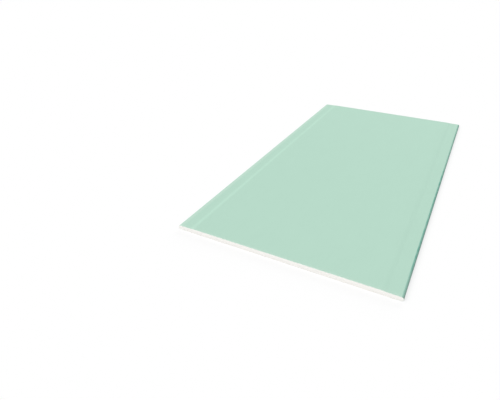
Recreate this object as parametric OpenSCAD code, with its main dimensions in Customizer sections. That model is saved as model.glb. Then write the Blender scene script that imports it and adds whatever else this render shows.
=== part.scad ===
// Gypsum wallboard with tapered, half-round long edges and square cut ends.
// The board lies flat, green face up: X runs across the width, Y along the length and Z through
// the thickness. The origin is under the middle of the back.

/* [Board] */
// Width over the two rounded long edges
board_w = 600; // [300:1:1250]
// Length between the two cut ends
board_l = 1200; // [300:1:3600]
// Thickness of the flat middle, papers included
board_t = 13; // [9.5:0.5:18]

/* [Tapered edges] */
// Width of the recessed strip along each long edge
taper_w = 50; // [40:1:80]
// Width of the shoulder where the strip leaves the flat face
shoulder_w = 14; // [6:1:24]
// Depth that the shoulder drops
shoulder_drop = 0.8; // [0.3:0.1:1.5]
// Further fall across the strip, on top of the shoulder
strip_fall = 0.5; // [0.1:0.1:1]

/* [Papers] */
// Thickness of the green face paper
face_paper_t = 0.35; // [0.2:0.05:0.6]
// Thickness of the plain back paper
back_paper_t = 0.35; // [0.2:0.05:0.6]
// Strip of folded face paper that shows along each long edge of the back
fold_show = 14; // [10:1:30]
// Strip of folded face paper that lies under the back paper
fold_lap = 14; // [6:1:30]

/* [Hidden] */
$fn = 96;

// Flat stretches that draw the curve of one shoulder
shoulder_steps = 8;

// The half-round edge fills the height from the back paper up to the end of the tapered strip
edge_r = (board_t - shoulder_drop - strip_fall - back_paper_t) / 2;
edge_x = board_w / 2 - edge_r;
edge_z = back_paper_t + edge_r;

// The tapered strip runs from the flat face to the crown of the half-round edge
strip_x = board_w / 2 - taper_w;
strip_run = edge_x - strip_x;

// Half widths, on the back, of the bare core between the folds and of the back paper over them
back_x = board_w / 2 - fold_show;
fold_x = back_x - fold_lap;

// Smooth fall from 0 to 1, level at both ends
function eased(u) = u * u * (3 - 2 * u);

// Height of the face at the distance s across the tapered strip
function face_z(s) = board_t - shoulder_drop * eased(min(s / shoulder_w, 1)) - strip_fall * s / strip_run;

// Distances across the strip at which the face changes direction, from the long edge inwards
strip_stops = concat([strip_run], [for (i = [shoulder_steps:-1:0]) shoulder_w * i / shoulder_steps]);

// Points of one tapered strip, from the long edge up to the flat face
function strip_line(skin) = [for (s = strip_stops) [strip_x + s, face_z(s) - skin]];

function mirrored(line) = [for (i = [len(line) - 1:-1:0]) [-line[i].x, line[i].y]];

// Section of the board without its back paper, with the face paper down to the depth skin peeled off
module wrapped_section(skin) {
    line = strip_line(skin);
    foot = [[-edge_x, back_paper_t + skin], [edge_x, back_paper_t + skin]];
    polygon(concat(foot, line, mirrored(line)));
    for (side = [-1, 1])
        translate([side * edge_x, edge_z]) circle(edge_r - skin);
}

// The middle of the back, where no face paper is folded under
module open_back() {
    translate([-fold_x, back_paper_t]) square([2 * fold_x, edge_r]);
}

// A section drawn across the board, run along its length
module full_length() {
    rotate([90, 0, 0]) linear_extrude(board_l, center = true) children();
}

// Cast core, stepped back under the two folds of the face paper
module gypsum_core() {
    color("#F6F4EF") full_length() {
        wrapped_section(face_paper_t);
        open_back();
    }
}

// One sheet over the face, round both long edges and folded onto the back
module face_paper() {
    color("#B9DBCA") full_length() difference() {
        wrapped_section(0);
        wrapped_section(face_paper_t);
        open_back();
    }
}

// Flat sheet over the back, lapped onto both folds
module back_paper() {
    color("#CBC5B7") full_length()
        translate([-back_x, 0]) square([2 * back_x, back_paper_t]);
}

gypsum_core();
face_paper();
back_paper();
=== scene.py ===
"""Dresses a gypsum wallboard sheet: a cast core, green face paper wrapped round the long edges and a plain
back paper, lying face up on a pale studio floor."""

import math

import bpy
import numpy as np
from bpy.props import FloatProperty, FloatVectorProperty, IntProperty, PointerProperty
from mathutils import Color, Matrix, Vector
from mathutils.geometry import delaunay_2d_cdt


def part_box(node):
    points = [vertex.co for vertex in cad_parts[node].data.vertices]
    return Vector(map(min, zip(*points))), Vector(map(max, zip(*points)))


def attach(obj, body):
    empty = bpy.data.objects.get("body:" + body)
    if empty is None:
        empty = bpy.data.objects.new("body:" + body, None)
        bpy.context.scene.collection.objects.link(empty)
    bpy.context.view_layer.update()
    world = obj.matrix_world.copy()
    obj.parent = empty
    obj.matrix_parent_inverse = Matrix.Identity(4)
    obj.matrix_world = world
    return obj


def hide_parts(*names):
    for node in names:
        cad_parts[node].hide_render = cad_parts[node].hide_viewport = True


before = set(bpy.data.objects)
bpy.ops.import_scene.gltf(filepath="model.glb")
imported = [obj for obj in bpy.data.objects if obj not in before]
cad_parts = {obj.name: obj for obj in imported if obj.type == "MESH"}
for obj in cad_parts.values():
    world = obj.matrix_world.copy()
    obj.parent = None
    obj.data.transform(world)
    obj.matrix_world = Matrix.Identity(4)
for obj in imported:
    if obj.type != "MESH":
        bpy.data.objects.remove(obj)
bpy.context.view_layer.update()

bl_info = {
    "name": "Wallboard Sheet",
    "version": (1, 0, 0),
    "blender": (4, 5, 0),
    "location": "View3D > Sidebar > Wallboard",
    "description": "Builds a paper-faced gypsum board with tapered edges and a studio stage",
    "category": "Add Mesh",
}

BODY = "root"
BAKE_MAP = "OFBake"

# Mesh spacing in metres: across the face paper, across the back paper, on the shoulders, along the board
# and on the sawn ends. The turn is the angle from point to point round a long edge
FLAT_STEP = 0.003
BACK_STEP = 0.006
SHOULDER_STEP = 0.001
RING_STEP = 0.010
GROUND_STEP = 0.0014
EDGE_TURN = math.radians(9)

# Rings that follow the cut ends closely, as distances in from the end
END_RINGS = (0.0, 0.0006, 0.002, 0.005)

# Angle between two faces from which the edge between them is sharp, on the core and on the papers
CORE_SHARP = math.radians(35)
PAPER_SHARP = math.radians(40)

# Slow waves in the face paper and in the sawn ends, as the shortest and longest in metres and their
# number. The span is the height, from low to high, that the waves of the sawn ends are cut off at
COCKLE_WAVES = (0.05, 0.16, 14)
CUT_WAVES = (0.004, 0.03, 10)
WAVE_SPAN = 4.0

# Distances over which the cockle and the lumps die out at the cut ends, and the cockle at the long edges
END_FADE = 0.03
EDGE_FADE = 0.02

# Lumps of the long edges: spacing of the broad ones and of the fine ones, height of the fine ones as a
# share of the broad ones, and how far all are sunk, so that few stand out
BROAD_LUMP = 0.08
FINE_LUMP = 0.025
FINE_LUMP_SHARE = 0.6
LUMP_SINK = 1.0

# Torn rims of the papers: spacing of their turns, for the face paper as a share of its wrap and for the
# back paper in metres, and how much of the tear the inside of the face paper follows
FACE_TEAR = 0.002
BACK_TEAR = 0.002
INNER_TEAR = 0.6

# Air pores: spread of their sizes, least wall between two, how often a place is tried, and the least and
# the greatest depth as shares of the radius
PORE_SPREAD = 0.5
PORE_WALL = 0.00012
PORE_TRIES = 12
PORE_DEPTH = (0.5, 1.0)

# Rings of a pore, as shares of its radius and of its depth, and the range that their points stray in, as
# shares of the ring. A fine pore has only the first ring, and fewer sides
PORE_RINGS = ((1.0, 0.0), (0.8, 0.55))
RING_STRAY = (0.9, 1.04)
FINE_PORE = 0.00025
FINE_SIDES = 7
PORE_SIDES = 10

# Points between the pores, as shares of their spacing: how far they stray from an even grid, and how far
# inside the outline they stay
GROUND_STRAY = 0.3
GROUND_INSET = 0.3

# Triangulation of a cut end: it works in millimetres and joins points closer than the weld
MILLIMETRES = 1000.0
TRIANGLES = 0
WELD = 0.00001

# Places of a paper's sides on its bake map, as left, bottom, width and height
MAP_SHOWN = (0.005, 0.02, 0.86, 0.96)
MAP_HIDDEN = (0.875, 0.02, 0.06, 0.5)
MAP_FRONT = (0.005, 0.005, 0.86, 0.008)
MAP_REAR = (0.005, 0.987, 0.86, 0.008)
MAP_LEFT = (0.945, 0.02, 0.015, 0.96)
MAP_RIGHT = (0.97, 0.02, 0.015, 0.96)

# Places on the core's bake map: its sides, and the bottom of each cut end, which lies there in strips,
# one above another
MAP_SIDES = (0.01, 0.91, 0.98, 0.08)
MAP_ENDS = (0.005, 0.455)
END_STRIPS = 4
STRIP_HEIGHT = 0.11
STRIP_MARGIN = 0.03

# Repeats of each texture in a metre, across, along and through the board
PAPER_CLOUDS = (26.0, 14.0, 26.0)
PAPER_STREAKS = (420.0, 9.0, 420.0)
PAPER_FIBRES = (1300.0, 700.0, 1300.0)
PAPER_FLECKS = (1400.0, 260.0, 1400.0)
FLECK_BENDS = (160.0, 160.0, 160.0)
DUST_PUFFS = (240.0, 400.0, 240.0)
EDGE_PATCHES = (40.0, 36.0, 90.0)
GYPSUM_CLOUDS = (60.0, 60.0, 160.0)
GYPSUM_SCRATCHES = (50.0, 50.0, 2600.0)
GYPSUM_GRAINS = (2400.0, 2400.0, 2400.0)
GYPSUM_PITS = (1500.0, 1500.0, 1500.0)

# Middle of a noise, and the range that most of it lies in
NOISE_MIDDLE = 0.5
NOISE_RANGE = (0.3, 0.7)

# Papers: their least and greatest roughness, and how far streaks and flecks stand out beside fibres
PAPER_ROUGHNESS = (0.74, 0.86)
STREAK_RELIEF = 0.5
FLECK_RELIEF = 0.4

# Flecks: how far they are bent, where in a cell their rim runs out, and from which cells on there is one
FLECK_BEND = 1.6
FLECK_RIM = (0.16, 0.26)
FLECK_CHOICE = (0.9, 0.94)

# Dust beside the cut ends: the range of its puffs, from bare to covered
PUFF_RANGE = (0.38, 0.66)

# Gypsum: strength of its clouds, painted shade at its foot and the share of the height where it ends, its
# least and greatest roughness, depth of its relief in metres and how far scratches stand out beside grains
GYPSUM_MOTTLE = 0.04
PAINTED_FOOT_SHADE = 0.955
FOOT_REACH = 0.75
GYPSUM_ROUGHNESS = (0.82, 0.96)
GYPSUM_RELIEF = 0.00012
SCRATCH_RELIEF = 0.7

# Fine pits of the gypsum, sunk in relief and darkened by painted shade: how far they are bent, the range
# of cells that hold one, their radii in the cell, and where their rim runs out, inwards and outwards
PIT_BEND = 0.35
PIT_CHOICE = (0.3, 1.0)
PIT_RADII = (0.0, 0.3)
PIT_RIM = (-0.14, 0.02)

# Matt surfaces: their faint shine and the strength of their relief
SHINE = 0.02
RELIEF = 0.6

# Rubbed shoulders, the left one made paler still by a painted highlight: how much paler the left and the
# right one are, and how far that runs onto the flat face
RUB_AND_HIGHLIGHT_GAIN = (0.042, 0.014)
RUB_LEAD = 0.004

# Paler strip on the left edge: its cover and how far it reaches in, where it sets in across the rounding,
# from the crown in shares of the radius, and how high, as a share of the height of the rounding's middle
LEFT_EDGE_PALING = 0.14
PALING_REACH = 0.013
PALING_RIM = (-0.5, 0.4)
PALING_FOOT = 0.5

# Band of painted shade on the right edge: where along the board it sets in and fades, and its strength
# beyond. Across the edge, how soon it rises at the crown and where it starts to fade, in shares of the
# radius, and its strength at the widest place. Then the range of its patches, and the strength of the palest
BAND_START = (-0.52, -0.48)
BAND_END = (0.08, 0.13)
BAND_FAINT = 0.6
BAND_RISE = 0.12
BAND_FADE = 0.4
BAND_SIDE = 0.3
PATCH_RANGE = (0.35, 0.65)
PATCH_LEAST = 0.6

# Sockets of the Mix node for its factor and two colours, and for the mixed colour. Several share a name
MIX_INPUTS = (0, 6, 7)
MIX_RESULT = 2

# Floor: how far it lies below the back paper, how far it reaches under the long sides and under the ends,
# and its corners in order
FLOOR_GAP = 0.0001
SIDE_LAP = 0.002
END_LAP = 0.0004
SQUARE = ((-1, -1), (1, -1), (1, 1), (-1, 1))

# Light: plain white, and the lamp below the floor that shines straight up
WHITE = (1.0, 1.0, 1.0, 1.0)
STRAIGHT_UP = -math.pi / 2
UNDER_SPREAD = math.radians(120)

# Nearest distance that the camera sees
NEAR_VIEW = 0.01


class WallboardShape(bpy.types.PropertyGroup):
    """Sizes of the board that the frame's boxes do not give"""

    taper_width: FloatProperty(
        name="Taper width", description="Recessed strip along each long edge",
        default=0.050, min=0.04, max=0.08, unit="LENGTH")
    shoulder_width: FloatProperty(
        name="Shoulder width", description="Steeper part of the strip, next to the flat face",
        default=0.014, min=0.006, max=0.024, unit="LENGTH")
    shoulder_drop: FloatProperty(
        name="Shoulder drop", description="Depth that the shoulder falls",
        default=0.0008, min=0.0003, max=0.0015, unit="LENGTH")
    strip_fall: FloatProperty(
        name="Strip fall", description="Further fall across the whole strip",
        default=0.0005, min=0.0001, max=0.001, unit="LENGTH")
    fold_lap: FloatProperty(
        name="Fold lap", description="Folded face paper that lies under the back paper",
        default=0.014, min=0.006, max=0.03, unit="LENGTH")
    cockle: FloatProperty(
        name="Cockle", description="Height of the slow waves in the face paper",
        default=0.00004, min=0.0, max=0.0002, unit="LENGTH")
    edge_lump: FloatProperty(
        name="Edge lumps", description="How far the rounded long edges swell and shrink",
        default=0.00008, min=0.0, max=0.0003, unit="LENGTH")
    ragged: FloatProperty(
        name="Ragged cut", description="How far the cut paper edges draw back from the end",
        default=0.00025, min=0.0, max=0.001, unit="LENGTH")
    cut_wave: FloatProperty(
        name="Uneven cut", description="How far the sawn ends are out of flat",
        default=0.00010, min=0.0, max=0.0004, unit="LENGTH")
    pore_radius: FloatProperty(
        name="Pore radius", description="Middle size of the air pores open at the cut ends",
        default=0.00024, min=0.0001, max=0.001, unit="LENGTH")
    pore_count: IntProperty(
        name="Pores", description="Air pores open at each cut end",
        default=2200, min=1, max=4000)
    seed: IntProperty(
        name="Seed", description="Starting point for the waves, pores and ragged cuts",
        default=11, min=0)


class WallboardFinish(bpy.types.PropertyGroup):
    """Colours of the papers and the core, and of the shade painted on the pits and the right edge"""

    face_green: FloatVectorProperty(
        name="Face paper", description="Pale green of the face paper",
        default=(0.722, 0.856, 0.789), size=3, min=0.0, max=1.0, subtype="COLOR_GAMMA")
    face_fleck: FloatVectorProperty(
        name="Face flecks", description="Darker fibres in the face paper",
        default=(0.50, 0.66, 0.59), size=3, min=0.0, max=1.0, subtype="COLOR_GAMMA")
    # Painted shade: the deeper green of the right edge band stands in for the shade on that side.
    edge_shade_green: FloatVectorProperty(
        name="Shaded edge band", description="Deeper green of the band along the right long edge",
        default=(0.472, 0.712, 0.648), size=3, min=0.0, max=1.0, subtype="COLOR_GAMMA")
    back_buff: FloatVectorProperty(
        name="Back paper", description="Grey buff of the back paper",
        default=(0.780, 0.755, 0.700), size=3, min=0.0, max=1.0, subtype="COLOR_GAMMA")
    back_fleck: FloatVectorProperty(
        name="Back flecks", description="Dark recycled fibres in the back paper",
        default=(0.42, 0.40, 0.37), size=3, min=0.0, max=1.0, subtype="COLOR_GAMMA")
    gypsum_white: FloatVectorProperty(
        name="Gypsum", description="Off-white of the cast core",
        default=(0.968, 0.970, 0.958), size=3, min=0.0, max=1.0, subtype="COLOR_GAMMA")
    # Painted shade: the colour that the bottoms of the fine pits are darkened to.
    gypsum_pit_shade: FloatVectorProperty(
        name="Gypsum pit shade", description="Shaded bottoms of the smallest pores",
        default=(0.87, 0.86, 0.835), size=3, min=0.0, max=1.0, subtype="COLOR_GAMMA")


class WallboardStage(bpy.types.PropertyGroup):
    """Studio light, floor and camera"""

    key_strength: FloatProperty(
        name="Key light", description="Light from the key lamp, as a share of full white",
        default=0.95, min=0.0, max=3.0)
    key_tint: FloatVectorProperty(
        name="Key tint", description="Slightly warm colour of the key lamp",
        default=(1.0, 0.95, 0.931), size=3, min=0.0, max=1.0, subtype="COLOR")
    key_azimuth: FloatProperty(
        name="Key azimuth",
        description="Direction of the key lamp from straight in front, left is negative",
        default=math.radians(-28.0), subtype="ANGLE")
    key_elevation: FloatProperty(
        name="Key elevation", description="Height of the key lamp above the floor",
        default=math.radians(33.0), subtype="ANGLE")
    key_spread: FloatProperty(
        name="Key spread", description="Width of the key lamp in the sky, which softens its shadow",
        default=math.radians(35.0), subtype="ANGLE")
    rear_strength: FloatProperty(
        name="Rear light", description="Light from the lamp behind the board, as a share of full white",
        default=0.56, min=0.0, max=3.0)
    rear_azimuth: FloatProperty(
        name="Rear azimuth",
        description="Direction of the rear lamp from straight in front, left is negative",
        default=math.radians(180.0), subtype="ANGLE")
    rear_elevation: FloatProperty(
        name="Rear elevation", description="Height of the rear lamp above the floor",
        default=math.radians(15.0), subtype="ANGLE")
    rear_spread: FloatProperty(
        name="Rear spread", description="Width of the rear lamp in the sky",
        default=math.radians(40.0), subtype="ANGLE")
    under_strength: FloatProperty(
        name="Under light", description="Light on the back of the board, from below the floor",
        default=0.6, min=0.0, max=3.0)
    fill_strength: FloatProperty(
        name="Fill light", description="Even light from all round, as a share of full white",
        default=0.374, min=0.0, max=2.0)
    fill_tint: FloatVectorProperty(
        name="Fill tint", description="Slightly cool colour of the fill light",
        default=(0.903, 0.973, 1.0), size=3, min=0.0, max=1.0, subtype="COLOR")
    floor_albedo: FloatProperty(
        name="Floor tone", description="Share of light that the floor gives back to the board",
        default=0.25, min=0.0, max=1.0)
    floor_side: FloatProperty(
        name="Floor side", description="Length of one side of the floor",
        default=60.0, unit="LENGTH")
    eye: FloatVectorProperty(
        name="Camera", description="Place of the camera",
        default=(0.3304, -1.3625, 0.6597), size=3, subtype="TRANSLATION", unit="LENGTH")
    view_azimuth: FloatProperty(
        name="View azimuth", description="Turn of the camera to the right of straight in front",
        default=math.radians(28.205), subtype="ANGLE")
    view_elevation: FloatProperty(
        name="View elevation", description="How far the camera looks down",
        default=math.radians(30.393), subtype="ANGLE")
    view_width: FloatProperty(
        name="View width", description="Angle that the picture's width takes in",
        default=math.radians(60.81), subtype="ANGLE")


# Stations and the section of the board

def eased(u):
    """Smooth rise from 0 to 1, level at both ends."""
    u = np.clip(u, 0.0, 1.0)
    return u * u * (3.0 - 2.0 * u)


def spaced(start, end, step):
    """Even stations from start to end, no further apart than step."""
    return np.linspace(start, end, max(2, math.ceil(abs(end - start) / step) + 1))


def shares(stations):
    """Stations as shares of the way from the first to the last."""
    return (stations - stations[0]) / np.ptp(stations)


def lengths_along(line):
    """Distance along a line of points, from 0 to 1."""
    steps = np.hypot(*np.diff(line, axis=0).T)
    return shares(np.concatenate([[0.0], np.cumsum(steps)]))


class Section:
    """Cross-section of the board, from the frame's boxes and the shape settings."""

    def __init__(self, shape):
        paper_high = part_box("face_paper")[1]
        core_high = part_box("gypsum_core")[1]
        back_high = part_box("back_paper")[1]
        self.half_width = paper_high.x
        self.half_length = paper_high.y
        self.top = paper_high.z
        self.face_paper = paper_high.z - core_high.z
        self.back_paper = back_high.z
        self.back_half = back_high.x
        self.fold_half = back_high.x - shape.fold_lap
        self.shape = shape
        self.edge_radius = (self.top - shape.shoulder_drop - shape.strip_fall - self.back_paper) / 2
        self.edge_x = self.half_width - self.edge_radius
        self.edge_z = self.back_paper + self.edge_radius
        self.strip_x = self.half_width - shape.taper_width
        self.strip_run = self.edge_x - self.strip_x
        self.shoulder_end = self.strip_x + shape.shoulder_width

    def face_height(self, x):
        """Height of the paper's outside above the floor, up to the crown of the rounded edge."""
        across = np.clip(np.abs(x) - self.strip_x, 0.0, self.strip_run)
        shoulder = self.shape.shoulder_drop * eased(across / self.shape.shoulder_width)
        return self.top - shoulder - self.shape.strip_fall * across / self.strip_run

    def face_stations(self, step):
        """Stations from the middle of the face to the crown of the right edge, closer on the shoulder."""
        return np.concatenate([
            spaced(0.0, self.strip_x, step),
            spaced(self.strip_x, self.shoulder_end, min(step, SHOULDER_STEP))[1:],
            spaced(self.shoulder_end, self.edge_x, step)[1:],
        ])

    def edge_angles(self):
        """Angles round the edge, from its crown down to its foot."""
        turns = math.ceil(math.pi / EDGE_TURN)
        return np.linspace(math.pi / 2, -math.pi / 2, turns + 1)

    def edge_line(self, angle, skin):
        """Points of the rounded edge at the depth skin, at the angles given."""
        return np.column_stack([
            self.edge_x + (self.edge_radius - skin) * np.cos(angle),
            self.edge_z + (self.edge_radius - skin) * np.sin(angle),
        ])

    def wrap_line(self, skin):
        """Points of the face paper at the depth skin, from the left fold over the face to the right fold."""
        face_x = self.face_stations(FLAT_STEP)
        face = np.column_stack([face_x, self.face_height(face_x) - skin])
        edge = self.edge_line(self.edge_angles()[1:], skin)
        fold_x = spaced(self.edge_x, self.fold_half, FLAT_STEP)[1:]
        fold = np.column_stack([fold_x, np.full_like(fold_x, self.back_paper + skin)])
        right = np.vstack([face, edge, fold])
        left = right[:0:-1] * (-1.0, 1.0)
        return np.vstack([left, right])

    def core_line(self):
        """Closed outline of the core, run round anticlockwise from the middle of its foot."""
        skin = self.face_paper
        foot_x = spaced(0.0, self.fold_half, GROUND_STEP)
        fold_x = spaced(self.fold_half, self.edge_x, GROUND_STEP)
        face_x = self.face_stations(GROUND_STEP)[::-1]
        right = np.vstack([
            np.column_stack([foot_x, np.full_like(foot_x, self.back_paper)]),
            np.column_stack([fold_x, np.full_like(fold_x, self.back_paper + skin)]),
            self.edge_line(self.edge_angles()[-2:0:-1], skin),
            np.column_stack([face_x, self.face_height(face_x) - skin]),
        ])
        left = right[-2:0:-1] * (-1.0, 1.0)
        return np.vstack([right, left])

    def core_depth(self, x, z):
        """Distance of a point inside the core's outline, less than nothing outside it."""
        skin = self.face_paper
        flat = np.minimum(z - self.back_paper - skin, self.face_height(x) - skin - z)
        beyond = np.maximum(np.abs(x) - self.edge_x, 0.0)
        rounded = self.edge_radius - skin - np.hypot(beyond, z - self.edge_z)
        return np.where(beyond > 0.0, rounded, flat)

    def rings(self):
        """Stations along the board, closer at the cut ends."""
        near = np.array(END_RINGS) - self.half_length
        middle = spaced(near[-1], -near[-1], RING_STEP)[1:-1]
        return np.concatenate([near, middle, -near[::-1]])


# Slow waves and small irregularities, drawn from the seed

def plane_waves(rng, x, y, shortest, longest, count):
    """Sum of slow waves in many directions, about 1 high."""
    total = np.zeros(np.broadcast(x, y).shape)
    for _ in range(count):
        length = rng.uniform(shortest, longest)
        heading = rng.uniform(0.0, math.pi)
        phase = rng.uniform(0.0, 2.0 * math.pi)
        along = x * math.cos(heading) + y * math.sin(heading)
        total = total + np.sin(2.0 * math.pi * along / length + phase)
    return total * math.sqrt(2.0 / count)


def wander(rng, t, spacing):
    """Smooth random line between -1 and 1 that turns about once for each spacing."""
    cells = math.ceil(np.ptp(t) / spacing) + 2
    value = rng.uniform(-1.0, 1.0, cells + 1)
    place = (t - t.min()) / spacing
    cell = np.floor(place).astype(int)
    return value[cell] + (value[cell + 1] - value[cell]) * eased(place - cell)


def torn(rng, t, spacing):
    """Smooth random line between 0 and 1, for the rim of a torn paper."""
    return 0.5 + 0.5 * wander(rng, t, spacing)


# Meshes from grids of vertices

def sheet_points(line, rings, ragged, move=0.0):
    """Points of one side of a paper, ring by ring, moved a little and drawn back at the two cut ends."""
    points = np.empty((len(rings), len(line), 3))
    points[..., [0, 2]] = line + move
    points[..., 1] = rings[:, None]
    points[0, :, 1] += ragged
    points[-1, :, 1] -= ragged[::-1]
    return points


class Patches:
    """Collects grids of vertices, their faces and their places on the bake map, and makes one mesh."""

    def __init__(self):
        self.points = []
        self.faces = []
        self.places = []
        self.count = 0

    def add_points(self, points):
        """Takes an array of points and returns their indices in the same layout."""
        flat = points.reshape(-1, 3)
        index = np.arange(self.count, self.count + len(flat)).reshape(points.shape[:-1])
        self.points.append(flat)
        self.count += len(flat)
        return index

    def add_grid(self, index, area, across=None, along=None, flip=False):
        """Faces over a grid of vertices. area is (left, bottom, width, height) on the bake map."""
        rows, columns = index.shape
        across = np.linspace(0.0, 1.0, columns) if across is None else across
        along = np.linspace(0.0, 1.0, rows) if along is None else along
        left, bottom, width, height = area
        place = np.empty((rows, columns, 2))
        place[..., 0] = left + width * across[None, :]
        place[..., 1] = bottom + height * along[:, None]
        order = (slice(None, -1), slice(1, None))
        corners = [(0, 0), (0, 1), (1, 1), (1, 0)]
        if flip:
            corners.reverse()
        faces = np.stack([index[order[a], order[b]] for a, b in corners], -1)
        places = np.stack([place[order[a], order[b]] for a, b in corners], -2)
        self.add_faces(faces.reshape(-1, 4), places)

    def add_sheet(self, upper, lower, upper_area, lower_area, across, along):
        """Faces all round a sheet of paper: its two sides, its two cut ends and its two long edges."""
        self.add_grid(upper, upper_area, across, along)
        self.add_grid(lower, lower_area, across, along, flip=True)
        self.add_grid(np.stack([lower[0], upper[0]]), MAP_FRONT, across)
        self.add_grid(np.stack([lower[-1], upper[-1]]), MAP_REAR, across, flip=True)
        self.add_grid(np.stack([lower[:, 0], upper[:, 0]], 1), MAP_LEFT, None, along)
        self.add_grid(np.stack([upper[:, -1], lower[:, -1]], 1), MAP_RIGHT, None, along)

    def add_faces(self, faces, places):
        """Faces over vertices, with the place of each corner on the bake map."""
        self.faces.extend(faces.tolist())
        self.places.append(places.reshape(-1, 2))

    def make(self, name, sharp):
        """Makes the object, smooth where its faces meet at less than the angle sharp."""
        mesh = bpy.data.meshes.new(name)
        mesh.from_pydata(np.concatenate(self.points).tolist(), [], self.faces)
        mesh.uv_layers.new(name=BAKE_MAP)
        mesh.uv_layers[BAKE_MAP].data.foreach_set("uv", np.concatenate(self.places).ravel())
        mesh.shade_smooth()
        mesh.set_sharp_from_angle(angle=sharp)
        mesh.validate()
        piece = bpy.data.objects.new(name, mesh)
        bpy.context.scene.collection.objects.link(piece)
        return piece


# Shader nodes

def put(tree, kind, options=None, **sockets):
    """Adds a node, sets its options, and sets or links the sockets that are named."""
    node = tree.nodes.new("ShaderNode" + kind)
    for name, value in (options or {}).items():
        setattr(node, name, value)
    for name, value in sockets.items():
        feed(tree, node.inputs[name.replace("_", " ")], value)
    return node


def feed(tree, socket, value):
    """Links an output to a socket, or sets the socket's own value."""
    if isinstance(value, bpy.types.NodeSocket):
        tree.links.new(value, socket)
    else:
        socket.default_value = value


def maths(tree, operation, *values):
    """One Math node on numbers or outputs."""
    node = put(tree, "Math", {"operation": operation})
    for socket, value in zip(node.inputs, values):
        feed(tree, socket, value)
    return node.outputs["Value"]


def remap(tree, value, low, high, to_low=0.0, to_high=1.0):
    """Smoothly stretches low..high to to_low..to_high, and no further."""
    node = put(tree, "MapRange", {"interpolation_type": "SMOOTHSTEP"}, Value=value,
               From_Min=low, From_Max=high, To_Min=to_low, To_Max=to_high)
    return node.outputs["Result"]


def tint(tree, factor, below, above):
    """Mixes two colours."""
    node = put(tree, "Mix", {"data_type": "RGBA"})
    for socket, value in zip(MIX_INPUTS, (factor, below, above)):
        feed(tree, node.inputs[socket], value)
    return node.outputs[MIX_RESULT]


def shade(tree, colour, value):
    """Makes a colour lighter or darker by a factor."""
    return put(tree, "HueSaturation", Color=colour, Value=value).outputs["Color"]


def either(tree, factor, first, second):
    """The first shader where the factor is 0, and the second where it is 1."""
    node = put(tree, "MixShader", Fac=factor)
    feed(tree, node.inputs[1], first)
    feed(tree, node.inputs[2], second)
    return node.outputs["Shader"]


def place_on(tree):
    """Place on the object, in metres, as its X, Y and Z."""
    return put(tree, "SeparateXYZ", Vector=put(tree, "TexCoord").outputs["Object"]).outputs


def stretched(tree, repeats):
    """Place on the object, times the repeats in a metre for each axis."""
    place = put(tree, "TexCoord").outputs["Object"]
    return put(tree, "Mapping", Vector=place, Scale=repeats).outputs["Vector"]


def noise(tree, repeats, detail=2.0):
    """Soft noise with the repeats given."""
    return put(tree, "TexNoise", Vector=stretched(tree, repeats), Scale=1.0, Detail=detail).outputs


def bent_cells(tree, repeats, bent, bend):
    """Round cells with the repeats given, pushed out of place by the colour of a noise."""
    place = put(tree, "VectorMath", {"operation": "MULTIPLY_ADD"})
    for socket, value in zip(place.inputs, (bent, (bend, bend, bend), stretched(tree, repeats))):
        feed(tree, socket, value)
    return put(tree, "TexVoronoi", Vector=place.outputs["Vector"], Scale=1.0).outputs


def linear(colour):
    """A colour as it is seen, turned to linear light with full alpha."""
    return [*Color(colour).from_srgb_to_scene_linear(), 1.0]


def new_group(name, inputs, outputs):
    """An empty shader group with named inputs and outputs, as (tree, inputs, outputs)."""
    tree = bpy.data.node_groups.new(name, "ShaderNodeTree")
    for label, kind, value in inputs:
        socket = tree.interface.new_socket(label, in_out="INPUT", socket_type=kind)
        socket.default_value = value
    for label, kind in outputs:
        tree.interface.new_socket(label, in_out="OUTPUT", socket_type=kind)
    return tree, tree.nodes.new("NodeGroupInput").outputs, tree.nodes.new("NodeGroupOutput").inputs


def grouped(tree, group, **sockets):
    """Places a shader group in a material with its own values."""
    return put(tree, "Group", {"node_tree": group}, **sockets).outputs


def paper_stock_group():
    """Fibres, streaks along the board and sparse flecks, for any paper."""
    name = "Paper Stock"
    if name in bpy.data.node_groups:
        return bpy.data.node_groups[name]
    tree, given, result = new_group(
        name,
        [
            ("Paper", "NodeSocketColor", (1.0, 1.0, 1.0, 1.0)),
            ("Fleck", "NodeSocketColor", (0.2, 0.2, 0.2, 1.0)),
            ("Mottle", "NodeSocketFloat", 0.02),
            ("Fleck Amount", "NodeSocketFloat", 0.3),
        ],
        [
            ("Color", "NodeSocketColor"),
            ("Roughness", "NodeSocketFloat"),
            ("Height", "NodeSocketFloat"),
        ],
    )
    cloud = noise(tree, PAPER_CLOUDS, detail=5.0)["Fac"]
    streak = noise(tree, PAPER_STREAKS, detail=3.0)["Fac"]
    fibre = noise(tree, PAPER_FIBRES, detail=4.0)["Fac"]
    spread = maths(tree, "ADD", maths(tree, "ADD", cloud, streak), fibre)
    spread = maths(tree, "SUBTRACT", spread, 3 * NOISE_MIDDLE)
    paper = shade(tree, given["Paper"], maths(tree, "MULTIPLY_ADD", spread, given["Mottle"], 1.0))

    cell = bent_cells(tree, PAPER_FLECKS, noise(tree, FLECK_BENDS)["Color"], FLECK_BEND)
    chosen = put(tree, "SeparateColor", Color=cell["Color"]).outputs["Red"]
    speck = remap(tree, cell["Distance"], *FLECK_RIM, 1.0, 0.0)
    speck = maths(tree, "MULTIPLY", speck, remap(tree, chosen, *FLECK_CHOICE))
    speck = maths(tree, "MULTIPLY", speck, given["Fleck Amount"])
    feed(tree, result["Color"], tint(tree, speck, paper, given["Fleck"]))

    feed(tree, result["Roughness"], remap(tree, fibre, *NOISE_RANGE, *PAPER_ROUGHNESS))
    height = maths(tree, "MULTIPLY_ADD", streak, STREAK_RELIEF, fibre)
    feed(tree, result["Height"], maths(tree, "MULTIPLY_ADD", speck, FLECK_RELIEF, height))
    return tree


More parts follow.
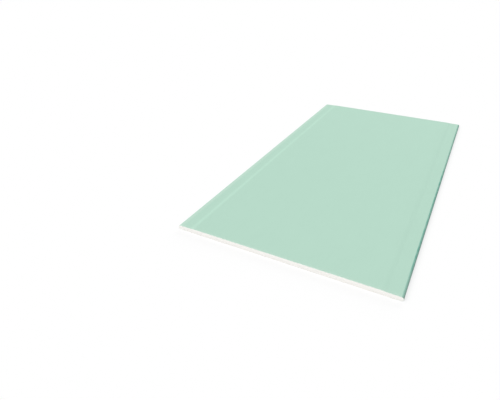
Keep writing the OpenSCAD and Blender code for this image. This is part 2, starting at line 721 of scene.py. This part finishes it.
def cut_dust_group():
    """Patchy gypsum dust beside the two cut ends."""
    name = "Cut Dust"
    if name in bpy.data.node_groups:
        return bpy.data.node_groups[name]
    tree, given, result = new_group(
        name,
        [
            ("End", "NodeSocketFloat", 0.6),
            ("Reach", "NodeSocketFloat", 0.014),
            ("Amount", "NodeSocketFloat", 0.26),
        ],
        [("Mask", "NodeSocketFloat")],
    )
    gap = maths(tree, "SUBTRACT", given["End"], maths(tree, "ABSOLUTE", place_on(tree)["Y"]))
    near = maths(tree, "SUBTRACT", 1.0, maths(tree, "DIVIDE", gap, given["Reach"]))
    near = maths(tree, "POWER", maths(tree, "MAXIMUM", near, 0.0), 2.0)
    patchy = remap(tree, noise(tree, DUST_PUFFS, detail=4.0)["Fac"], *PUFF_RANGE)
    mask = maths(tree, "MULTIPLY", maths(tree, "MULTIPLY", near, patchy), given["Amount"])
    feed(tree, result["Mask"], mask)
    return tree


# Materials

def blank_material(name):
    """A material with no nodes yet, as (material, tree)."""
    material = bpy.data.materials.new(name)
    material.use_nodes = True
    material.node_tree.nodes.clear()
    return material, material.node_tree


def matt_material(name):
    """A material with its output and a Principled shader of little shine, as (material, tree, shader)."""
    material, tree = blank_material(name)
    shader = put(tree, "BsdfPrincipled", Specular_IOR_Level=SHINE)
    put(tree, "OutputMaterial", Surface=shader.outputs["BSDF"])
    return material, tree, shader


def relieve(tree, shader, height, depth):
    """Gives a shader the relief of a height, with the depth in metres."""
    bump = put(tree, "Bump", Height=height, Distance=depth, Strength=RELIEF)
    feed(tree, shader.inputs["Normal"], bump.outputs["Normal"])


def rubbed_shoulders_and_highlight(tree, colour, section):
    """The two shoulders, rubbed paler, the left one more, as a painted highlight from the key lamp."""
    place = place_on(tree)
    across = maths(tree, "ABSOLUTE", place["X"])
    middle = 0.5 * (section.strip_x + section.shoulder_end)
    rub_and_highlight = maths(tree, "MULTIPLY", remap(tree, across, section.strip_x - RUB_LEAD, middle),
                remap(tree, across, middle, section.shoulder_end, 1.0, 0.0))
    # The left shoulder's larger gain is a painted highlight on the side that the key lamp lights.
    rub_and_highlight_gain = remap(tree, place["X"], -section.edge_x, section.edge_x, *RUB_AND_HIGHLIGHT_GAIN)
    return shade(tree, colour, maths(tree, "MULTIPLY_ADD", rub_and_highlight, rub_and_highlight_gain, 1.0))


def paler_left_edge(tree, colour, section):
    """Paler along the left edge, towards gypsum white, thinner further in, with none low on the side."""
    place = place_on(tree)
    crown = -section.edge_x
    rim = [crown + share * section.edge_radius for share in PALING_RIM]
    whitening = maths(tree, "MULTIPLY", remap(tree, place["X"], crown, crown + PALING_REACH, LEFT_EDGE_PALING, 0.0),
                 remap(tree, place["X"], *rim))
    whitening = maths(tree, "MULTIPLY", whitening, remap(tree, place["Z"], PALING_FOOT * section.edge_z, section.edge_z))
    return tint(tree, whitening, colour, linear(bpy.context.scene.wallboard_finish.gypsum_white))


def shaded_right_edge_band(tree, colour, section):
    """Patchy band of painted shade along the right edge, fainter at the near corner and over the far part.
    """
    place = place_on(tree)
    crown = section.edge_x
    radius = section.edge_radius
    rise = BAND_RISE * radius
    band = maths(tree, "MULTIPLY", remap(tree, place["X"], crown - rise, crown + rise),
                 remap(tree, place["X"], crown + BAND_FADE * radius, crown + radius, 1.0, BAND_SIDE))
    stretch = maths(tree, "MULTIPLY", remap(tree, place["Y"], *BAND_START, BAND_FAINT, 1.0),
                    remap(tree, place["Y"], *BAND_END, 1.0, BAND_FAINT))
    patch = remap(tree, noise(tree, EDGE_PATCHES, detail=3.0)["Fac"], *PATCH_RANGE, PATCH_LEAST, 1.0)
    # The band darkens the paper's colour as painted shade, on the side away from the key lamp.
    cover = maths(tree, "MULTIPLY", band, maths(tree, "MULTIPLY", stretch, patch))
    return tint(tree, cover, colour, linear(bpy.context.scene.wallboard_finish.edge_shade_green))


def paper_material(name, section, paper, fleck, mottle, fleck_amount, fibre_depth, overlays=()):
    """Matt fibred, flecked paper, dusted beside the cut ends, with the given overlays, some of painted
    light.
    """
    finish = bpy.context.scene.wallboard_finish
    material, tree, shader = matt_material(name)
    stock = grouped(tree, paper_stock_group(), Paper=linear(paper), Fleck=linear(fleck),
                    Mottle=mottle, Fleck_Amount=fleck_amount)
    whitening = grouped(tree, cut_dust_group(), End=section.half_length)
    colour = tint(tree, whitening["Mask"], stock["Color"], linear(finish.gypsum_white))
    for overlay in overlays:
        colour = overlay(tree, colour, section)
    feed(tree, shader.inputs["Base Color"], colour)
    feed(tree, shader.inputs["Roughness"], stock["Roughness"])
    relieve(tree, shader, stock["Height"], fibre_depth)
    return material


def gypsum_material(section):
    """Dry cast gypsum, sawn across: fine pits and foot in painted shade, soft clouds, faint scratches."""
    finish = bpy.context.scene.wallboard_finish
    material, tree, shader = matt_material("Cast gypsum")
    cloud = noise(tree, GYPSUM_CLOUDS, detail=5.0)["Fac"]
    scratch = noise(tree, GYPSUM_SCRATCHES, detail=3.0)["Fac"]
    grain = noise(tree, GYPSUM_GRAINS, detail=3.0)

    cell = bent_cells(tree, GYPSUM_PITS, grain["Color"], PIT_BEND)
    size = put(tree, "SeparateColor", Color=cell["Color"]).outputs["Green"]
    past_rim = maths(tree, "SUBTRACT", cell["Distance"], remap(tree, size, *PIT_CHOICE, *PIT_RADII))
    pit = remap(tree, past_rim, *PIT_RIM, 1.0, 0.0)

    value = maths(tree, "SUBTRACT", maths(tree, "ADD", cloud, scratch), 2 * NOISE_MIDDLE)
    value = maths(tree, "MULTIPLY_ADD", value, GYPSUM_MOTTLE, 1.0)
    # Painted shade: the gypsum's colour is made darker towards the foot of the core.
    foot = remap(tree, place_on(tree)["Z"], 0.0, FOOT_REACH * section.top, PAINTED_FOOT_SHADE, 1.0)
    body = shade(tree, linear(finish.gypsum_white), maths(tree, "MULTIPLY", value, foot))
    # Painted shade in the bottoms of the fine pits, whose mask also sinks them in relief.
    feed(tree, shader.inputs["Base Color"], tint(tree, pit, body, linear(finish.gypsum_pit_shade)))
    feed(tree, shader.inputs["Roughness"], remap(tree, grain["Fac"], *NOISE_RANGE, *GYPSUM_ROUGHNESS))
    relief = maths(tree, "MULTIPLY_ADD", scratch, SCRATCH_RELIEF, grain["Fac"])
    relieve(tree, shader, maths(tree, "SUBTRACT", relief, pit), GYPSUM_RELIEF)
    return material


# Pieces

def settle(piece, node, material):
    """Gives a piece its finish and puts it in the place of its frame node."""
    piece.data.materials.append(material)
    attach(piece, BODY)
    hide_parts(node)


class WALLBOARD_OT_core(bpy.types.Operator):
    """Cast the gypsum core, with air pores open at its sawn ends"""

    bl_idname = "wallboard.core"
    bl_label = "Gypsum Core"

    def execute(self, context):
        shape = context.scene.wallboard_shape
        section = Section(shape)
        rng = np.random.default_rng(shape.seed)
        outline = section.core_line()
        patches = Patches()
        loops = []
        for end, bottom in zip((-1.0, 1.0), MAP_ENDS):
            flat, sunk, corners = self.sawn_end(rng, section, outline)
            index = patches.add_points(
                np.column_stack([flat[:, 0], end * (section.half_length - sunk), flat[:, 1]]))
            corners = corners if end < 0.0 else corners[:, ::-1]
            patches.add_faces(index[corners], self.in_strips(section, flat[corners], bottom))
            loops.append(index[:len(outline)])
        around = np.stack(loops)
        patches.add_grid(np.column_stack([around, around[:, 0]]), MAP_SIDES, flip=True)
        piece = patches.make("cast_gypsum_core", CORE_SHARP)
        settle(piece, "gypsum_core", gypsum_material(section))
        return {"FINISHED"}

    def sawn_end(self, rng, section, outline):
        """One end, as its points across the board, how deep each is sunk, and its triangles."""
        pores = self.pores(rng, section)
        ground = self.ground(rng, section, pores)
        flat = [outline, ground]
        dips = [np.zeros(len(outline) + len(ground))]
        for x, z, radius in pores:
            deep = radius * rng.uniform(*PORE_DEPTH)
            fine = radius < FINE_PORE
            sides = FINE_SIDES if fine else PORE_SIDES
            angle = rng.uniform(0.0, 2.0 * math.pi) + np.arange(sides) * 2.0 * math.pi / sides
            for share, sink in PORE_RINGS[:1] if fine else PORE_RINGS:
                reach = radius * share * rng.uniform(*RING_STRAY, sides)
                flat.append(np.column_stack([x + reach * np.cos(angle), z + reach * np.sin(angle)]))
                dips.append(np.full(sides, deep * sink))
            flat.append([(x, z)])
            dips.append([deep])
        flat = np.concatenate(flat)
        wave = plane_waves(rng, flat[:, 0], flat[:, 1], *CUT_WAVES)
        sunk = np.concatenate(dips) + section.shape.cut_wave * np.clip(0.5 + wave / WAVE_SPAN, 0.0, 1.0)
        points = [Vector(point) for point in flat * MILLIMETRES]
        loop = list(range(len(outline)))
        made, _, corners, source, _, owners = delaunay_2d_cdt(points, [], [loop], TRIANGLES, WELD, True)
        if len(made) != len(points):
            raise RuntimeError("the pores of a cut end run into each other")
        order = np.array([ids[0] for ids in source])
        inside = [face for face, owner in zip(corners, owners) if owner]
        return flat, sunk, order[np.array(inside)]

    def pores(self, rng, section):
        """Places and radii of the pores open at one end, the largest first, all clear of each other."""
        shape = section.shape
        low = (-section.half_width, 0.0)
        high = (section.half_width, section.top)
        pores = np.empty((0, 3))
        for radius in np.sort(shape.pore_radius * rng.lognormal(0.0, PORE_SPREAD, shape.pore_count))[::-1]:
            room = radius + PORE_WALL
            for x, z in rng.uniform(low, high, (PORE_TRIES, 2)):
                apart = np.hypot(pores[:, 0] - x, pores[:, 1] - z) - pores[:, 2]
                if section.core_depth(x, z) > room and np.all(apart > room):
                    pores = np.vstack([pores, (x, z, radius)])
                    break
        return pores

    def ground(self, rng, section, pores):
        """Points scattered between the pores, about one step apart."""
        x = np.arange(-section.half_width, section.half_width, GROUND_STEP)
        z = np.arange(0.0, section.top, GROUND_STEP)
        grid = np.stack(np.meshgrid(x, z), -1).reshape(-1, 2)
        grid = grid + rng.uniform(-GROUND_STRAY, GROUND_STRAY, grid.shape) * GROUND_STEP
        grid = grid[section.core_depth(*grid.T) > GROUND_INSET * GROUND_STEP]
        apart = np.hypot(*(grid[:, None, :] - pores[None, :, :2]).transpose(2, 0, 1)) - pores[:, 2]
        return grid[apart.min(axis=1) > PORE_WALL]

    def in_strips(self, section, place, bottom):
        """Places of an end's triangles on the bake map, where the end lies in strips."""
        across = (place[..., 0] / section.half_width + 1.0) * END_STRIPS / 2
        strip = np.clip(np.floor(across.mean(axis=1)), 0, END_STRIPS - 1)[:, None]
        left = STRIP_MARGIN + (1.0 - 2.0 * STRIP_MARGIN) * (across - strip)
        up = bottom + STRIP_HEIGHT * (strip + (1.0 - STRIP_MARGIN) * place[..., 1] / section.top)
        return np.stack([left, up], -1)


class WALLBOARD_OT_face_paper(bpy.types.Operator):
    """Wrap the green face paper over the face, round the long edges and onto the back"""

    bl_idname = "wallboard.face_paper"
    bl_label = "Face Paper"

    def execute(self, context):
        shape = context.scene.wallboard_shape
        finish = context.scene.wallboard_finish
        section = Section(shape)
        rng = np.random.default_rng(shape.seed + 1)
        rings = section.rings()
        outside = section.wrap_line(0.0)
        inside = section.wrap_line(section.face_paper)
        across = lengths_along(outside)
        move = self.swell(rng, section, outside, rings)
        ragged = shape.ragged * torn(rng, across, FACE_TEAR)
        patches = Patches()
        outer = patches.add_points(sheet_points(outside, rings, ragged, move))
        inner = patches.add_points(sheet_points(inside, rings, INNER_TEAR * ragged, move))
        patches.add_sheet(outer, inner, MAP_SHOWN, MAP_HIDDEN, across, shares(rings))
        piece = patches.make("green_face_paper", PAPER_SHARP)
        material = paper_material(
            "Green face paper", section, finish.face_green, finish.face_fleck,
            mottle=0.02, fleck_amount=0.35, fibre_depth=0.00006,
            overlays=(rubbed_shoulders_and_highlight, paler_left_edge, shaded_right_edge_band))
        settle(piece, "face_paper", material)
        return {"FINISHED"}

    def swell(self, rng, section, line, rings):
        """Small moves of each point of the wrap, as an array of (ring, point, x and z)."""
        x, z = line.T
        shape = section.shape
        end_fade = eased((section.half_length - np.abs(rings)) / END_FADE)[:, None]
        edge_fade = eased((section.edge_x - np.abs(x)) / EDGE_FADE)[None, :] * (z > section.edge_z)
        waves = plane_waves(rng, x[None, :], rings[:, None], *COCKLE_WAVES)
        move = np.zeros((len(rings), len(line), 2))
        move[..., 1] = shape.cockle * waves * end_fade * edge_fade
        for side in (-1.0, 1.0):
            away = np.clip(side * x - section.edge_x, 0.0, None) / section.edge_radius
            lump = wander(rng, rings, BROAD_LUMP) + FINE_LUMP_SHARE * wander(rng, rings, FINE_LUMP)
            lump = shape.edge_lump * (lump - LUMP_SINK)
            move[..., 0] += side * away[None, :] * lump[:, None] * end_fade
        return move


class WALLBOARD_OT_back_paper(bpy.types.Operator):
    """Lay the plain back paper over the back, lapped onto the folds of the face paper"""

    bl_idname = "wallboard.back_paper"
    bl_label = "Back Paper"

    def execute(self, context):
        shape = context.scene.wallboard_shape
        finish = context.scene.wallboard_finish
        section = Section(shape)
        rng = np.random.default_rng(shape.seed + 2)
        rings = section.rings()
        x = spaced(-section.back_half, section.back_half, BACK_STEP)
        ragged = shape.ragged * torn(rng, x, BACK_TEAR)
        patches = Patches()
        under, over = (
            patches.add_points(sheet_points(np.column_stack([x, np.full_like(x, height)]), rings, ragged))
            for height in (0.0, section.back_paper))
        patches.add_sheet(over, under, MAP_HIDDEN, MAP_SHOWN, shares(x), shares(rings))
        piece = patches.make("plain_back_paper", PAPER_SHARP)
        material = paper_material(
            "Plain back paper", section, finish.back_buff, finish.back_fleck,
            mottle=0.06, fleck_amount=0.8, fibre_depth=0.00008)
        settle(piece, "back_paper", material)
        return {"FINISHED"}


# Stage

def looking_from(azimuth, elevation):
    """Turn of a lamp or camera that looks back down from an azimuth, right of straight in front, and an
    elevation."""
    return Matrix.Rotation(azimuth, 4, "Z") @ Matrix.Rotation(math.pi / 2 - elevation, 4, "X")


class WALLBOARD_OT_stage(bpy.types.Operator):
    """Set the pale floor, the soft studio light and the camera"""

    bl_idname = "wallboard.stage"
    bl_label = "Studio Stage"

    def execute(self, context):
        scene = context.scene
        stage = scene.wallboard_stage
        self.floor(scene, stage, Section(scene.wallboard_shape))
        self.lamp(scene, "key_lamp", stage.key_strength, stage.key_tint,
                  stage.key_azimuth, stage.key_elevation, stage.key_spread)
        self.lamp(scene, "rear_lamp", stage.rear_strength, WHITE[:3],
                  stage.rear_azimuth, stage.rear_elevation, stage.rear_spread)
        self.lamp(scene, "under_lamp", stage.under_strength, WHITE[:3], 0.0, STRAIGHT_UP, UNDER_SPREAD)
        self.surround(scene, stage)
        self.camera(scene, stage)
        scene.view_settings.view_transform = "Standard"
        return {"FINISHED"}

    def floor(self, scene, stage, section):
        """Wide floor, white to the camera, that keeps the board's shadow. It is open under the board and not
        seen from below, so that the back of the board is lit and shows there."""
        half = stage.floor_side / 2
        rims = ((half, half), (section.edge_x - SIDE_LAP, section.half_length - END_LAP))
        corners = [(sx * x, sy * y, -FLOOR_GAP) for x, y in rims for sx, sy in SQUARE]
        count = len(SQUARE)
        sides = [(i, (i + 1) % count, count + (i + 1) % count, count + i) for i in range(count)]
        mesh = bpy.data.meshes.new("studio_floor")
        mesh.from_pydata(corners, [], sides)
        mesh.materials.append(self.floor_material(stage.floor_albedo))
        floor = bpy.data.objects.new("studio_floor", mesh)
        scene.collection.objects.link(floor)

    def floor_material(self, tone):
        """Matt tone that is lifted to white where it is looked at, and clear from below."""
        material, tree = blank_material("Studio floor")
        material.cycles.emission_sampling = "NONE"
        matt = put(tree, "BsdfDiffuse", Color=(tone, tone, tone, 1.0))
        lift = maths(tree, "MULTIPLY", self.seen_directly(tree), 1.0 - tone)
        lifted = put(tree, "AddShader")
        feed(tree, lifted.inputs[0], matt.outputs["BSDF"])
        feed(tree, lifted.inputs[1], put(tree, "Emission", Strength=lift).outputs["Emission"])
        below = put(tree, "NewGeometry").outputs["Backfacing"]
        clear = put(tree, "BsdfTransparent").outputs["BSDF"]
        put(tree, "OutputMaterial", Surface=either(tree, below, lifted.outputs["Shader"], clear))
        return material

    def seen_directly(self, tree):
        """1 where the camera, a mirror or glass looks at the surface, and 0 for light that it passes on."""
        path = put(tree, "LightPath").outputs
        seen = maths(tree, "MAXIMUM", path["Is Camera Ray"], path["Is Glossy Ray"])
        return maths(tree, "MAXIMUM", seen, path["Is Transmission Ray"])

    def lamp(self, scene, name, strength, colour, azimuth, elevation, spread):
        """Broad soft lamp, far off. A strength of 1 lights white that faces it to full white."""
        light = bpy.data.lights.new(name, "SUN")
        light.energy = strength * math.pi
        light.angle = spread
        light.color = colour
        holder = bpy.data.objects.new(name, light)
        scene.collection.objects.link(holder)
        holder.matrix_world = looking_from(azimuth, elevation)

    def surround(self, scene, stage):
        """Even fill light, white where the camera sees past the floor."""
        world = bpy.data.worlds.new("Studio surround")
        world.use_nodes = True
        tree = world.node_tree
        tree.nodes.clear()
        fill = put(tree, "Background", Color=(*stage.fill_tint, 1.0), Strength=stage.fill_strength)
        white = put(tree, "Background", Color=WHITE, Strength=1.0)
        lit = either(tree, self.seen_directly(tree),
                     fill.outputs["Background"], white.outputs["Background"])
        put(tree, "OutputWorld", Surface=lit)
        scene.world = world

    def camera(self, scene, stage):
        """Camera that looks down along the board from its near right corner."""
        lens = bpy.data.cameras.new("camera")
        lens.sensor_fit = "HORIZONTAL"
        lens.angle = stage.view_width
        lens.clip_start = NEAR_VIEW
        lens.clip_end = 2.0 * stage.floor_side
        holder = bpy.data.objects.new("camera", lens)
        scene.collection.objects.link(holder)
        turn = looking_from(stage.view_azimuth, stage.view_elevation)
        holder.matrix_world = Matrix.Translation(Vector(stage.eye)) @ turn
        scene.camera = holder


class WALLBOARD_PT_sidebar(bpy.types.Panel):
    """Settings and pieces of the wallboard"""

    bl_idname = "WALLBOARD_PT_sidebar"
    bl_label = "Wallboard"
    bl_space_type = "VIEW_3D"
    bl_region_type = "UI"
    bl_category = "Wallboard"

    def draw(self, context):
        for operator in OPERATORS:
            self.layout.operator(operator.bl_idname)
        for name in SETTINGS:
            settings = getattr(context.scene, name)
            box = self.layout.box()
            for label in settings.bl_rna.properties.keys():
                if label not in ("rna_type", "name"):
                    box.prop(settings, label)


OPERATORS = (
    WALLBOARD_OT_core,
    WALLBOARD_OT_face_paper,
    WALLBOARD_OT_back_paper,
    WALLBOARD_OT_stage,
)
SETTINGS = {
    "wallboard_shape": WallboardShape,
    "wallboard_finish": WallboardFinish,
    "wallboard_stage": WallboardStage,
}
CLASSES = (*SETTINGS.values(), *OPERATORS, WALLBOARD_PT_sidebar)


def register():
    """Registers the classes and gives the scene its settings."""
    for kind in CLASSES:
        bpy.utils.register_class(kind)
    for name, kind in SETTINGS.items():
        setattr(bpy.types.Scene, name, PointerProperty(type=kind))


def unregister():
    """Takes away what register added."""
    for name in SETTINGS:
        delattr(bpy.types.Scene, name)
    for kind in reversed(CLASSES):
        bpy.utils.unregister_class(kind)


def main():
    """Builds the board on its stage."""
    register()
    bpy.ops.wallboard.core()
    bpy.ops.wallboard.face_paper()
    bpy.ops.wallboard.back_paper()
    bpy.ops.wallboard.stage()


if __name__ == "__main__":
    main()
